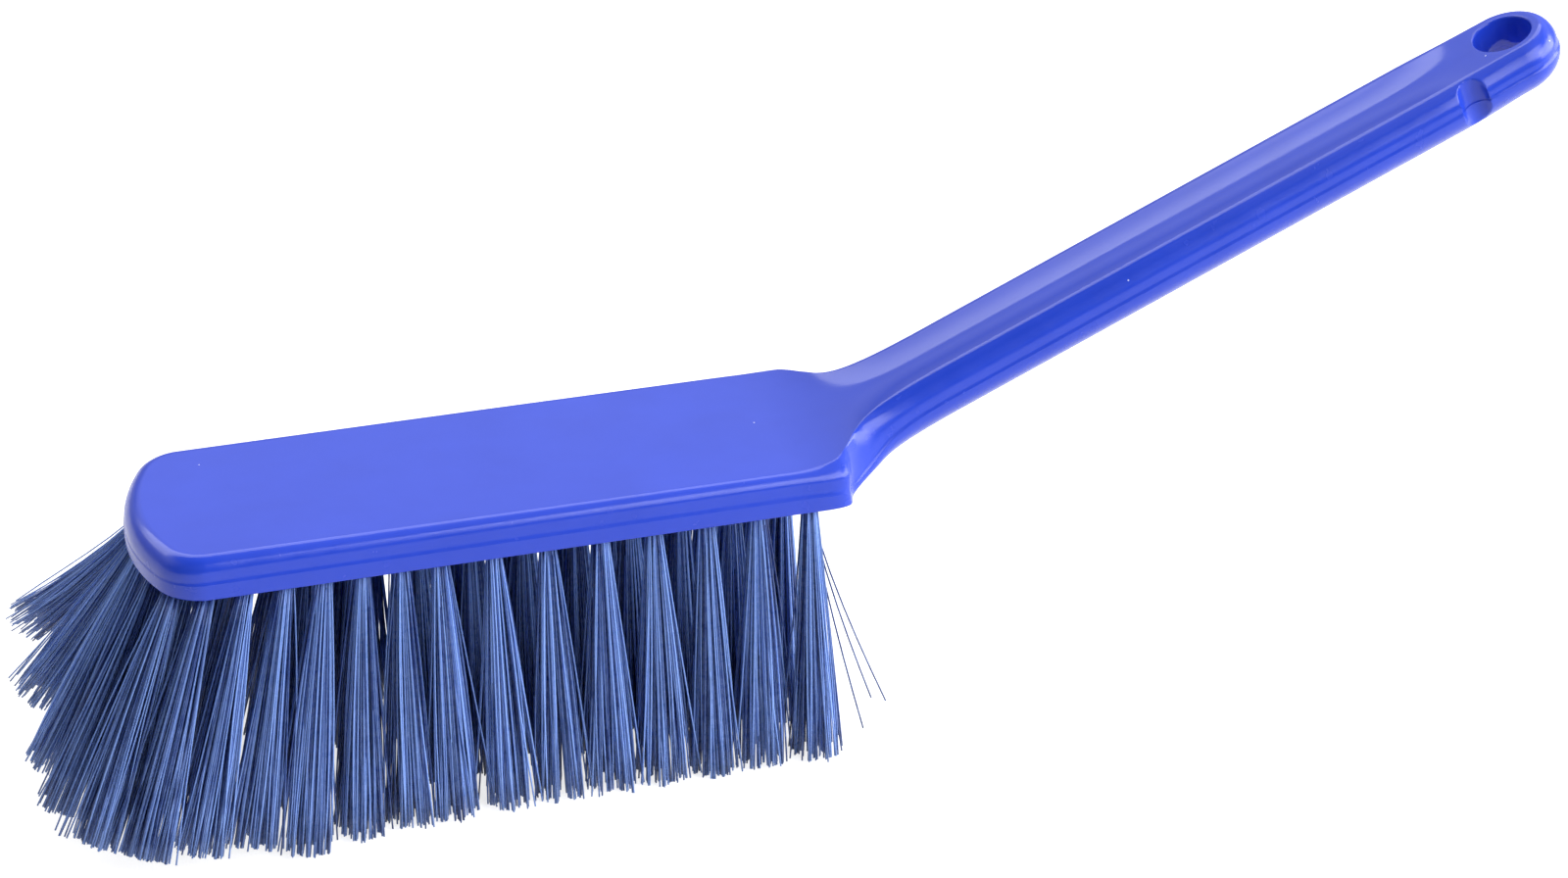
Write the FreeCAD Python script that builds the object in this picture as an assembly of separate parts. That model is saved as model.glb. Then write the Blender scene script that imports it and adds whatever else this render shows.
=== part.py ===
import FreeCAD, Part
import math
import os

# A hand broom. One plastic moulding forms the bristle block and its cranked handle. Tufts of plastic
# filament stand in blind holes drilled in the underside of the block. Each tuft is a bundle folded in
# two over a flat wire anchor, and the ends of the anchor bite into the wall of the hole.
# Lengths are in millimetres and angles in degrees. X runs from the nose to the hanging hole, Z is up,
# and the trimmed bristle ends stand on Z = 0.

# Bristle block
BLOCK_LENGTH = 160.0
BLOCK_WIDTH = 53.0
BLOCK_THICKNESS = 9.8
NOSE_FRONT_RADIUS = 48.0
NOSE_CORNER_RADIUS = 11.0
REAR_CORNER_RADIUS = 4.0
BLOCK_TOP_ROUND = 3.2
BLOCK_BOTTOM_ROUND = 0.6

# Neck: from the start of the bend in the top of the block to the even grip
HANDLE_ANGLE = 24.3
NECK_SETBACK = 3.3
NECK_BEND_RADIUS = 45.0
NECK_LENGTH = 40.0
NECK_ROOT_INSET = 6.1
NECK_ROOT_STEP = 0.8
NECK_SINK = 0.15
NECK_ROOT_PARTING_SHARE = 0.85
NECK_PLACE_SHARES = (0.0, 0.16, 0.255, 0.33, 0.40, 0.495, 0.62, 0.80, 1.0)
NECK_WIDTH_SHARES = (1.0, 0.985, 0.93, 0.78, 0.57, 0.33, 0.165, 0.04, 0.0)
NECK_SHOULDER_SHARES = (1.16, 1.2, 1.28, 0.72, 0.5, 0.6, 0.8, 0.97, 1.0)
NECK_DEPTH_SHARES = (0.0, 0.14, 0.28, 0.44, 0.61, 0.84, 0.96, 1.0, 1.0)
NECK_PARTING_SHARES = (1.0, 0.95, 0.93, 0.87, 0.74, 0.42, 0.16, 0.03, 0.0)

# Grip: a dished top between two crests, shoulders down to the parting line, and an oval belly
HANDLE_LENGTH = 183.9
CREST_WIDTH = 16.4
GRIP_SHOULDER = 4.3
PARTING_DEPTH = 6.6
GRIP_DEPTH = 15.2
GROOVE_DEPTH = 1.0

# Hanging ring at the end of the grip, and the clip notch in its left side
RING_WALL = 4.8
RING_SHOULDER = 3.3
RING_DEPTH = 14.6
RING_RUN = 24.0
RING_PLACE_SHARES = (0.0, 0.35, 0.70, 1.0)
RING_GROWTH_SHARES = (0.0, 0.14, 0.68, 1.0)
HOLE_DIAMETER = 13.6
HOLE_RIM_ROUND = 0.4
NOTCH_RADIUS = 3.8
NOTCH_DEPTH = 3.0
NOTCH_SETBACK = 15.0

# Tufts: a border row follows the outline of the block, and an inner row runs down each side of its middle
BRISTLE_LENGTH = 64.6
NOSE_BRISTLE_LENGTH = 60.0
BORDER_INSET = 6.0
REAR_MARGIN = 9.2
NOSE_REACH = 65.75
SIDE_STEPS = 7
NOSE_STEPS = 9
INNER_ROW_OFFSET = 7.4
INNER_REAR_MARGIN = 11.6
INNER_NOSE_MARGIN = 14.75
INNER_STEPS = 11
SIDE_LEAN = 5.0
NOSE_LEAN = 32.0
CORNER_LEAN = 34.0
LEVEL_TRIM_LEAN = 14.0
FAN_REACH = 68.0
FAN_POWER = 1.5
CORNER_POWER = 2.0
HOLE_FLOOR = 2.8
TUFT_HOLE_DIAMETER = 4.0
TUFT_CLEARANCE = 0.08
TUFT_LOOP_HEIGHT = 0.9
TUFT_LOOP_SHARE = 0.6
TUFT_TIP_GAP = 1.75
NOSE_TUFT_SPREAD = 10.4
TUFT_SPREAD_ACROSS = 12.6

# Anchors: short lengths of flat wire
ANCHOR_BITE = 0.3
ANCHOR_THICKNESS = 0.35
ANCHOR_HEIGHT = 1.8

# How far a cutting shape runs past the surface that it opens
OVERRUN = 5.0

Vector = FreeCAD.Vector
ACROSS = Vector(0, 1, 0)

block_half = BLOCK_WIDTH / 2
block_top = BRISTLE_LENGTH + BLOCK_THICKNESS
bend_angle = math.radians(HANDLE_ANGLE)
bend_tangent = NECK_BEND_RADIUS * math.tan(bend_angle / 2)
bend_start = -NECK_SETBACK - bend_tangent
bend_run = NECK_BEND_RADIUS * bend_angle
ring_distance = bend_run + HANDLE_LENGTH - bend_tangent
ring_crest = HOLE_DIAMETER / 2 + RING_WALL - RING_SHOULDER
hole_depth = BLOCK_THICKNESS - HOLE_FLOOR
even_end = BLOCK_LENGTH - NOSE_REACH
side_pitch = (even_end - REAR_MARGIN) / SIDE_STEPS
inner_pitch = (BLOCK_LENGTH - INNER_NOSE_MARGIN - INNER_REAR_MARGIN) / INNER_STEPS


def between(low, high, share):
    """The value at a share of the way from low to high."""
    return low + (high - low) * share


def clamp_share(value):
    """A share held between nothing and all."""
    return min(max(value, 0.0), 1.0)


def spine(distance):
    """Point, direction and upward normal of the top line, at a distance from the start of the bend."""
    turn = clamp_share(distance / bend_run) * bend_angle
    direction = Vector(math.cos(turn), 0, math.sin(turn))
    normal = Vector(-math.sin(turn), 0, math.cos(turn))
    across_bend = NECK_BEND_RADIUS * math.sin(turn)
    up_bend = NECK_BEND_RADIUS * (1 - math.cos(turn))
    point = Vector(bend_start + across_bend, 0, block_top + up_bend)
    return point + direction * (distance - NECK_BEND_RADIUS * turn), direction, normal


def stretched(unit_shape, first, second, centre):
    """A unit shape in the XY plane, stretched so that X and Y become two half axes about a centre."""
    columns = (first, second, first.cross(second).normalize(), centre)
    stretch = FreeCAD.Matrix(*[getattr(column, axis) for axis in "xyz" for column in columns])
    return unit_shape.transformGeometry(stretch)


def quarter_oval(centre, start, end):
    """A quarter of an oval, from the end of one half axis to the end of the other."""
    unit_quarter = Part.makeCircle(1, Vector(), Vector(0, 0, 1), 0, 90)
    return stretched(unit_quarter, start, end, centre).Edges[0]


def side_edges(distance, hand, crest, shoulder, parting, depth, sink=0.0):
    """Shoulder and half belly of the section at a distance along the top line, on one hand."""
    point, _, normal = spine(distance)
    middle = point - normal * (parting + sink)
    out = ACROSS * hand
    over = quarter_oval(middle + out * crest, normal * parting, out * shoulder)
    under = quarter_oval(middle, out * (crest + shoulder), normal * (parting - depth))
    return over, under


def section(distance, crest, shoulder, parting, depth, groove, sink=0.0):
    """The closed outline of the section across the handle at a distance along the top line."""
    point, _, normal = spine(distance)
    middle = point - normal * sink
    right_crest = middle + ACROSS * crest
    left_crest = middle - ACROSS * crest
    if groove > 0:
        top = Part.Arc(left_crest, middle - normal * groove, right_crest)
    else:
        top = Part.LineSegment(left_crest, right_crest)
    right = side_edges(distance, 1, crest, shoulder, parting, depth, sink)
    left = side_edges(distance, -1, crest, shoulder, parting, depth, sink)
    return Part.Wire([top.toShape(), right[0], right[1], left[1], left[0]])


def nose_arcs(inset):
    """Centre of the nose corner, corner and front radii, and the angle where they meet, at an inset."""
    corner = NOSE_CORNER_RADIUS - inset
    front = NOSE_FRONT_RADIUS - inset
    centre_y = block_half - NOSE_CORNER_RADIUS
    slant = math.asin(centre_y / (front - corner))
    centre_x = NOSE_FRONT_RADIUS - BLOCK_LENGTH - (front - corner) * math.cos(slant)
    return centre_x, centre_y, corner, front, slant


def make_block():
    """The bristle block: its plan outline raised to its thickness, with a rounded top edge."""
    centre_x, centre_y, corner, front, slant = nose_arcs(0)
    bow = (math.pi / 2 + slant) / 2
    slack = REAR_CORNER_RADIUS * (1 - math.sqrt(0.5))
    outline = []
    nose_ends = []
    rear_ends = []
    for hand in (-1, 1):

        def point(x, y):
            return Vector(x, hand * y, BRISTLE_LENGTH)

        nose_end = point(front - BLOCK_LENGTH - front * math.cos(slant), front * math.sin(slant))
        bow_middle = point(centre_x - corner * math.cos(bow), centre_y + corner * math.sin(bow))
        side_front = point(centre_x, block_half)
        side_rear = point(-REAR_CORNER_RADIUS, block_half)
        rear_middle = point(-slack, block_half - slack)
        rear_end = point(0, block_half - REAR_CORNER_RADIUS)
        outline.append(Part.Arc(nose_end, bow_middle, side_front))
        outline.append(Part.LineSegment(side_front, side_rear))
        outline.append(Part.Arc(side_rear, rear_middle, rear_end))
        nose_ends.append(nose_end)
        rear_ends.append(rear_end)
    outline.append(Part.Arc(nose_ends[0], Vector(-BLOCK_LENGTH, 0, BRISTLE_LENGTH), nose_ends[1]))
    outline.append(Part.LineSegment(rear_ends[0], rear_ends[1]))
    wire = Part.Wire(Part.sortEdges([piece.toShape() for piece in outline])[0])
    block = Part.Face(wire).extrude(Vector(0, 0, BLOCK_THICKNESS))
    middle = BRISTLE_LENGTH + BLOCK_THICKNESS / 2
    top_edges = [edge for edge in block.Edges if edge.BoundBox.ZMin > middle]
    block = block.makeFillet(BLOCK_TOP_ROUND, top_edges)
    low = BRISTLE_LENGTH + BLOCK_BOTTOM_ROUND
    bottom_edges = [edge for edge in block.Edges if edge.BoundBox.ZMax < low]
    return block.makeFillet(BLOCK_BOTTOM_ROUND, bottom_edges)


def make_neck():
    """The neck: broad and thin inside the block, narrowing and deepening to the section of the grip."""
    shares = (NECK_WIDTH_SHARES, NECK_SHOULDER_SHARES, NECK_DEPTH_SHARES, NECK_PARTING_SHARES)
    root_crest = block_half - NECK_ROOT_INSET
    outlines = []
    for place, width, swell, deepening, lowering in zip(NECK_PLACE_SHARES, *shares):
        crest = between(CREST_WIDTH / 2, root_crest, width)
        shoulder = GRIP_SHOULDER * swell
        depth = between(BLOCK_THICKNESS - NECK_ROOT_STEP, GRIP_DEPTH, deepening)
        parting = depth * between(PARTING_DEPTH / GRIP_DEPTH, NECK_ROOT_PARTING_SHARE, lowering)
        groove = GROOVE_DEPTH * deepening
        sink = NECK_SINK * width
        outlines.append(section(NECK_LENGTH * place, crest, shoulder, parting, depth, groove, sink))
    return Part.makeLoft(outlines, True)


def make_grip():
    """The even stretch of the handle between the neck and the ring."""
    sizes = (CREST_WIDTH / 2, GRIP_SHOULDER, PARTING_DEPTH, GRIP_DEPTH, GROOVE_DEPTH)
    ends = [section(distance, *sizes) for distance in (NECK_LENGTH, ring_distance - RING_RUN)]
    return Part.makeLoft(ends, True, True)


def make_ring():
    """The end of the handle: it widens to the ring, and half a turn of its last section closes it."""
    outlines = []
    for place, growth in zip(RING_PLACE_SHARES, RING_GROWTH_SHARES):
        distance = ring_distance - RING_RUN * (1 - place)
        crest = between(CREST_WIDTH / 2, ring_crest, growth)
        shoulder = between(GRIP_SHOULDER, RING_SHOULDER, growth)
        depth = between(GRIP_DEPTH, RING_DEPTH, growth)
        groove = GROOVE_DEPTH * (1 - growth)
        outlines.append(section(distance, crest, shoulder, PARTING_DEPTH, depth, groove))
    arm = Part.makeLoft(outlines, True)
    centre, _, normal = spine(ring_distance)
    over, under = side_edges(ring_distance, 1, ring_crest, RING_SHOULDER, PARTING_DEPTH, RING_DEPTH)
    spoke = Part.LineSegment(centre, centre + ACROSS * ring_crest).toShape()
    axle = Part.LineSegment(centre - normal * RING_DEPTH, centre).toShape()
    half_face = Part.Face(Part.Wire([spoke, over, under, axle]))
    return arm, half_face.revolve(centre, normal, -180)


def hanging_hole():
    """Cutting shape of the hanging hole: a round bore that flares out at its upper rim."""
    centre, _, normal = spine(ring_distance)
    bore = HOLE_DIAMETER / 2
    slack = HOLE_RIM_ROUND * (1 - math.sqrt(0.5))

    def point(radius, height):
        return centre + ACROSS * radius + normal * height

    lid_middle = point(0, OVERRUN)
    lid_edge = point(bore + HOLE_RIM_ROUND, OVERRUN)
    rim = point(bore + HOLE_RIM_ROUND, 0)
    flare_middle = point(bore + slack, -slack)
    throat = point(bore, -HOLE_RIM_ROUND)
    foot = point(bore, -RING_DEPTH - OVERRUN)
    foot_middle = point(0, -RING_DEPTH - OVERRUN)
    outline = [
        Part.LineSegment(lid_middle, lid_edge),
        Part.LineSegment(lid_edge, rim),
        Part.Arc(rim, flare_middle, throat),
        Part.LineSegment(throat, foot),
        Part.LineSegment(foot, foot_middle),
        Part.LineSegment(foot_middle, lid_middle),
    ]
    face = Part.Face(Part.Wire([piece.toShape() for piece in outline]))
    return face.revolve(centre, normal, 360)


def clip_notch():
    """Cutting shape of the half-round notch down the left side of the handle, just before the ring."""
    point, _, normal = spine(ring_distance - NOTCH_SETBACK)
    widest = CREST_WIDTH / 2 + GRIP_SHOULDER
    start = point - ACROSS * (widest + NOTCH_RADIUS - NOTCH_DEPTH) - normal * (GRIP_DEPTH + OVERRUN)
    return Part.makeCylinder(NOTCH_RADIUS, GRIP_DEPTH + 2 * OVERRUN, start, normal)


def border_place(share):
    """Place on the right border row, at a share of the way from its even stretch to the nose."""
    centre_x, centre_y, corner, front, slant = nose_arcs(BORDER_INSET)
    straight = -even_end - centre_x
    bend = corner * (math.pi / 2 - slant)
    run = (straight + bend + front * slant) * share
    if run < straight:
        return -even_end - run, block_half - BORDER_INSET
    if run < straight + bend:
        turn = (run - straight) / corner
        return centre_x - corner * math.sin(turn), centre_y + corner * math.cos(turn)
    turn = slant - (run - straight - bend) / front
    return NOSE_FRONT_RADIUS - BLOCK_LENGTH - front * math.cos(turn), front * math.sin(turn)


def tuft_places():
    """Name of every tuft, with its plan place and the spread of its tips along the block."""
    border_y = block_half - BORDER_INSET
    side_spread = side_pitch - TUFT_TIP_GAP
    inner_spread = inner_pitch - TUFT_TIP_GAP
    meeting_spread = min(side_spread, NOSE_TUFT_SPREAD)
    places = {}
    for hand, side in ((-1, "left"), (1, "right")):
        for step in range(SIDE_STEPS):
            x = -REAR_MARGIN - side_pitch * step
            places[f"{side}_tuft_{step + 1:02d}"] = (x, hand * border_y, side_spread)
        places[f"{side}_tuft_{SIDE_STEPS + 1:02d}"] = (-even_end, hand * border_y, meeting_spread)
        for step in range(1, NOSE_STEPS):
            x, y = border_place(step / NOSE_STEPS)
            places[f"{side}_tuft_{SIDE_STEPS + 1 + step:02d}"] = (x, hand * y, NOSE_TUFT_SPREAD)
        for step in range(INNER_STEPS + 1):
            x = -INNER_REAR_MARGIN - inner_pitch * step
            places[f"{side}_inner_tuft_{step + 1:02d}"] = (x, hand * INNER_ROW_OFFSET, inner_spread)
    places["nose_tuft"] = (BORDER_INSET - BLOCK_LENGTH, 0, NOSE_TUFT_SPREAD)
    return places


def fan_share(x):
    """How far a place has come into the nose's fan: nothing behind its reach, all at the nose."""
    return clamp_share((FAN_REACH - BLOCK_LENGTH - x) / FAN_REACH)


def tuft_lean(x, y):
    """How far a tuft runs forward and sideways for each unit that it drops."""
    fan = fan_share(x)
    side = math.tan(math.radians(SIDE_LEAN))
    corner = math.tan(math.radians(CORNER_LEAN))
    forward = math.tan(math.radians(NOSE_LEAN)) * fan ** FAN_POWER
    outward = between(side, corner, fan ** CORNER_POWER) * y / (block_half - BORDER_INSET)
    return Vector(-forward, outward, -1)


def oval_wire(centre, along, across):
    """A whole oval round a centre, with its two half axes given as vectors."""
    return Part.Wire(stretched(Part.makeCircle(1), along, across, centre).Edges)


def make_tuft(x, y, spread):
    """One tuft, the hole drilled for it and its anchor."""
    lean = tuft_lean(x, y)
    drop = Vector(lean).normalize()
    mouth = Vector(x, y, BRISTLE_LENGTH)
    across = (ACROSS - drop * ACROSS.dot(drop)).normalize()
    along = drop.cross(across)
    tilt = math.acos(-drop.z)
    root = TUFT_HOLE_DIAMETER / 2 - TUFT_CLEARANCE
    clear = root * math.tan(tilt)
    half_along = spread / 2
    half_across = TUFT_SPREAD_ACROSS / 2

    def ring(depth, radius):
        return oval_wire(mouth - drop * depth, along * radius, across * radius)

    if tilt < math.radians(LEVEL_TRIM_LEAN):
        tip = mouth + lean * BRISTLE_LENGTH
        tip_along = Vector(half_along, 0, 0)
        tip_across = ACROSS * half_across
    else:
        tip = mouth + drop * between(BRISTLE_LENGTH, NOSE_BRISTLE_LENGTH, fan_share(x))
        tip_along = along * half_along
        tip_across = across * half_across
    loop_top = hole_depth - TUFT_CLEARANCE
    outlines = [
        ring(loop_top, root * TUFT_LOOP_SHARE),
        ring(loop_top - TUFT_LOOP_HEIGHT, root),
        ring(-clear, root),
        oval_wire(tip, tip_along, tip_across),
    ]
    bundle = Part.makeLoft(outlines, True, True)

    wide = TUFT_HOLE_DIAMETER + 2 * ANCHOR_BITE
    anchor = Part.makeBox(wide, ANCHOR_THICKNESS, ANCHOR_HEIGHT)
    anchor.translate(Vector(-wide / 2, -ANCHOR_THICKNESS / 2, -ANCHOR_HEIGHT))
    turn = FreeCAD.Rotation(along, across, drop * -1)
    seat = FreeCAD.Placement(mouth - drop * (loop_top - TUFT_LOOP_HEIGHT), turn)
    anchor.Placement = seat.multiply(anchor.Placement)
    bottom = mouth - drop * hole_depth
    drill = Part.makeCylinder(TUFT_HOLE_DIAMETER / 2, hole_depth + clear + OVERRUN, bottom, drop)
    return bundle.cut(anchor), drill, anchor


tufts = {}
drills = []
anchors = []
for name, place in tuft_places().items():
    tufts[name], drill, anchor = make_tuft(*place)
    drills.append(drill)
    anchors.append(anchor)

body = make_block().fuse([make_neck(), make_grip(), *make_ring()]).removeSplitter()
body = body.cut([hanging_hole(), clip_notch(), *drills, *anchors])

nodes = {"body": body, "anchors": Part.makeCompound(anchors), **tufts}
reach = Part.makeCompound(list(nodes.values())).optimalBoundingBox()
shift = Vector(-reach.Center.x, 0, -reach.ZMin)

os.makedirs("parts", exist_ok=True)
for name, shape in nodes.items():
    shape.translate(shift)
    shape.exportStep(f"parts/{name}.step")

hole_top, _, hole_axis = spine(ring_distance)
hole_centre = hole_top - hole_axis * (RING_DEPTH / 2) + shift
print("shift", shift)
print("hole centre", hole_centre, "axis", hole_axis)
print("overall", reach.XLength, reach.YLength, reach.ZLength)
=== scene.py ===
import bmesh
import bpy
import numpy as np
from mathutils import Matrix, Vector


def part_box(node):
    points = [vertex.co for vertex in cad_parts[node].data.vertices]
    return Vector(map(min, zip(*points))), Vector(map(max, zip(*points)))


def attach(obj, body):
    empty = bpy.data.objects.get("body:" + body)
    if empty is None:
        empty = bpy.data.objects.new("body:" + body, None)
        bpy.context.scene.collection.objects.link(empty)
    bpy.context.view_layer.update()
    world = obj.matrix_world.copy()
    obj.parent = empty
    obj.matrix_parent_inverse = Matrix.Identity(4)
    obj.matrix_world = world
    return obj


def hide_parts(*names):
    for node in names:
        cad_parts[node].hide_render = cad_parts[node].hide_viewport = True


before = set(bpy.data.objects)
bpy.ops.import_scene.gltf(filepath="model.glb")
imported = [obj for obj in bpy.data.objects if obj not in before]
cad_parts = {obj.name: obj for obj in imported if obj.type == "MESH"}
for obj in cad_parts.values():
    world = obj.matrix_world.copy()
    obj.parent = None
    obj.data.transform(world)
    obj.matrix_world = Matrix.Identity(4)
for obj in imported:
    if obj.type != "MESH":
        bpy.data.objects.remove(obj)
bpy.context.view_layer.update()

# The moulding: block, cranked neck and dished handle in one shot of royal blue polypropylene.
# Two mould halves meet along a fine parting line on its sides, and its wide faces came off polished steel.
# The tufts are pressed into holes in its underside, and the ring at its end hangs on a peg.
MM = 0.001
BLOCK_LENGTH = 160 * MM
BLOCK_HALF = 26.5 * MM
BLOCK_THICKNESS = 9.8 * MM
BLOCK_PARTING = 5.8 * MM
NOSE_FRONT_RADIUS = 48 * MM
NOSE_CORNER_RADIUS = 11 * MM
NOSE_FAN_INSET = 18 * MM
FRONT_INSET = 4.2 * MM
FRONT_ROUND = 5.2 * MM
NOSE_ROUND = 3.4 * MM
MIDDLE_ROUND = 2.9 * MM
REAR_ROUND = 2.7 * MM
BLOCK_EDGE_POWER = 0.05
NOSE_EDGE_POWER = 0.14
HANDLE_ANGLE = np.radians(24.3)
NECK_SETBACK = 3.3 * MM
NECK_RADIUS = 45 * MM
HANDLE_LENGTH = 183.9 * MM
GRIP_HALF = 12.5 * MM
GRIP_CREST = 8.2 * MM
GRIP_ROUND = 4.7 * MM
GRIP_PARTING = 6.6 * MM
GRIP_DEPTH = 15.2 * MM
DISH_DEPTH = 1 * MM
RING_RUN = 24 * MM
RING_HALF = 11.6 * MM
RING_CREST = 8.3 * MM
RING_DEPTH = 14.6 * MM
HOLE_RADIUS = 6.8 * MM
HOLE_ROUND = 0.4 * MM
HOLE_FOOT_ROUND = 0.4 * MM
HOLE_LEDGE = 0.15 * MM
RING_SWELL = 1.1
NOTCH_RADIUS = 3.8 * MM
NOTCH_DEPTH = 3 * MM
NOTCH_SETBACK = 15 * MM
NOTCH_LEDGE = 0.35 * MM
PARTING_RIDGE = 0.18 * MM
PARTING_REACH = 0.25 * MM
DISH_START = 3 * MM
DISH_FULL = 34 * MM
DISH_FADE = 34 * MM
DISH_END = 4 * MM
MERGE_DISTANCE = 0.002 * MM
SHARP_ANGLE = np.radians(42)

# Steps of the grid along each stretch, and shares of the way across the top and down the wall.
FRONT_STEPS = 10
CORNER_STEPS = 40
SIDE_STEPS = 30
NECK_STEPS = 8
GRIP_STEPS = 26
RING_STEPS = 110
RING_END_STEPS = 30
ROUNDING_STEPS = 16
BELLY_STEPS = 22
RIM_STEPS = 7
TOP_SHARES = np.array([0, 0.2, 0.4, 0.6, 0.75, 0.87, 0.94, 0.975, 0.992, 1])
WALL_SHARES = np.array([0.5, 1])
BELLY_START_SHARE = 1.02
FLANK_ROW = 12

# Stations from the rear of the block's side to the even grip. Each gives outline run and side, crest run
# and side, run of the middle line, drop of the rounding, depth of the parting, whole depth, in millimetres,
# then the power of the lower edge (0 square, 1 oval) and how far the outline has joined the bend.
NECK_STATIONS = np.array([
    (-8.0, 26.5, -8.0, 23.8, -10.0, 2.7, 5.8, 9.8, 0.05, 0.0),
    (0.0, 26.5, -1.0, 23.75, -4.0, 2.7, 5.8, 9.8, 0.05, 0.0),
    (8.2, 26.5, 5.5, 23.5, 1.0, 2.75, 6.0, 9.8, 0.05, 0.0),
    (11.8, 25.4, 9.3, 22.7, 5.0, 3.0, 6.6, 10.0, 0.06, 0.0),
    (13.0, 23.2, 11.6, 20.9, 8.0, 3.8, 7.6, 10.5, 0.12, 0.0),
    (13.4, 20.8, 13.4, 18.8, 11.0, 5.6, 8.9, 11.4, 0.25, 0.3),
    (14.6, 18.8, 15.2, 16.7, 14.0, 7.2, 9.4, 12.2, 0.45, 0.65),
    (16.6, 16.8, 17.3, 14.2, 17.0, 7.4, 9.4, 13.2, 0.65, 0.9),
    (20.0, 14.8, 20.5, 11.7, 20.4, 6.6, 8.6, 14.3, 0.85, 1.0),
    (24.5, 13.6, 25.0, 9.9, 25.0, 5.5, 7.5, 15.0, 0.97, 1.0),
    (31.5, 12.8, 32.0, 8.65, 32.0, 4.9, 6.8, 15.2, 1.0, 1.0),
    (40.0, 12.5, 40.0, 8.2, 40.0, 4.7, 6.6, 15.2, 1.0, 1.0),
])
NECK_STATIONS[:, :8] *= MM

body_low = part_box("body")[0]
top_z = body_low.z + BLOCK_THICKNESS
bend_tangent = NECK_RADIUS * np.tan(HANDLE_ANGLE / 2)
bend_run = NECK_RADIUS * HANDLE_ANGLE
bend_x = body_low.x + BLOCK_LENGTH - NECK_SETBACK - bend_tangent
nose_s = body_low.x - bend_x
ring_s = bend_run + HANDLE_LENGTH - bend_tangent


def smooth_step(value, low, high):
    """Rises from 0 at low to 1 at high along 3t squared minus 2t cubed."""
    t = np.clip((value - low) / (high - low), 0, 1)
    return t * t * (3 - 2 * t)


def bent(s, y, n, joined=1.0):
    """Run s, side y and height n of the straightened moulding, placed on the cranked one: level up to the
    bend, an arc round the bend, then straight up the handle. A share not yet joined stays level."""
    turn = np.clip(s / bend_run, 0, 1) * HANDLE_ANGLE
    past = s - NECK_RADIUS * turn
    x = NECK_RADIUS * np.sin(turn) + past * np.cos(turn) - n * np.sin(turn)
    z = NECK_RADIUS * (1 - np.cos(turn)) + past * np.sin(turn) + n * np.cos(turn)
    x = bend_x + s + (x - s) * joined
    z = top_z + n + (z - n) * joined
    return np.stack(np.broadcast_arrays(x, y, z), -1)


def through(rows, steps):
    """A smooth path through the rows of a table: cubic pieces whose slope at a row is half the difference
    between the rows on either side of it."""
    padded = np.vstack([2 * rows[0] - rows[1], rows, 2 * rows[-1] - rows[-2]])
    slope = (padded[2:] - padded[:-2]) / 2
    t = np.arange(steps)[:, None, None] / steps
    start, end = rows[:-1], rows[1:]
    path = ((1 + 2 * t) * (1 - t) ** 2 * start + t * (1 - t) ** 2 * slope[:-1]
            + t * t * (3 - 2 * t) * end - t * t * (1 - t) * slope[1:])
    path = path.transpose(1, 0, 2).reshape(-1, rows.shape[1])
    return np.vstack([path, rows[-1]])


def stations(outline, crest, middle_s, drop, parting, depth, edge, joined):
    """One row for each station: the columns are those of the neck's table."""
    columns = [*outline, *crest, middle_s, drop, parting, depth, edge, joined]
    return np.stack(np.broadcast_arrays(*columns), -1)


def block_stations():
    """Half of the block's outline from the nose to its rear: an arc of the front radius, one of the corner
    radius, and the straight side. The crest is inset by the rounding, which tightens to the rear."""
    gap = NOSE_FRONT_RADIUS - NOSE_CORNER_RADIUS
    centre_y = BLOCK_HALF - NOSE_CORNER_RADIUS
    slant = np.arcsin(centre_y / gap)
    front_s = nose_s + NOSE_FRONT_RADIUS
    centre_s = front_s - gap * np.cos(slant)
    front = np.linspace(0, slant, FRONT_STEPS)[:-1]
    corner = np.linspace(slant, np.pi / 2, CORNER_STEPS)
    side = np.linspace(centre_s, NECK_STATIONS[0, 0], SIDE_STEPS)[1:-1]

    def line(front_inset, corner_inset, side_inset):
        """The outline, moved inwards by the insets of its front, its corner and its side."""
        around = NOSE_FRONT_RADIUS - front_inset
        turn = NOSE_CORNER_RADIUS - corner_inset
        s = np.concatenate([front_s - around * np.cos(front), centre_s - turn * np.cos(corner), side])
        y = np.concatenate([around * np.sin(front), centre_y + turn * np.sin(corner),
                            BLOCK_HALF - side_inset + 0 * side])
        return s, y

    facing = np.concatenate([np.cos(front), np.cos(corner), 0 * side])
    places = (centre_s, centre_s / 2, NECK_STATIONS[0, 0])
    side_round = np.interp(side, places, (NOSE_ROUND, MIDDLE_ROUND, REAR_ROUND))
    drop = NOSE_ROUND + (FRONT_ROUND - NOSE_ROUND) * facing
    drop[-side.size:] = side_round
    inset = NOSE_ROUND + (FRONT_INSET - NOSE_ROUND) * facing
    outline = line(0, 0, 0)
    crest = line(inset[:front.size], inset[front.size:-side.size], side_round)
    middle_s = np.maximum(outline[0], nose_s + NOSE_FAN_INSET)
    edge = BLOCK_EDGE_POWER + (NOSE_EDGE_POWER - BLOCK_EDGE_POWER) * facing
    return stations(outline, crest, middle_s, drop, BLOCK_PARTING, BLOCK_THICKNESS, edge, 0)


def grip_stations():
    """The even grip: the same section all along, up to where the ring starts."""
    s = np.linspace(NECK_STATIONS[-1, 0], ring_s - RING_RUN, GRIP_STEPS)[1:-1]
    middle_s = s + (RING_RUN - HOLE_RADIUS - HOLE_ROUND) * smooth_step(s, s[0], s[-1])
    return stations((s, GRIP_HALF), (s, GRIP_CREST), middle_s, GRIP_ROUND,
                    GRIP_PARTING, GRIP_DEPTH, 1, 1)


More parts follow.
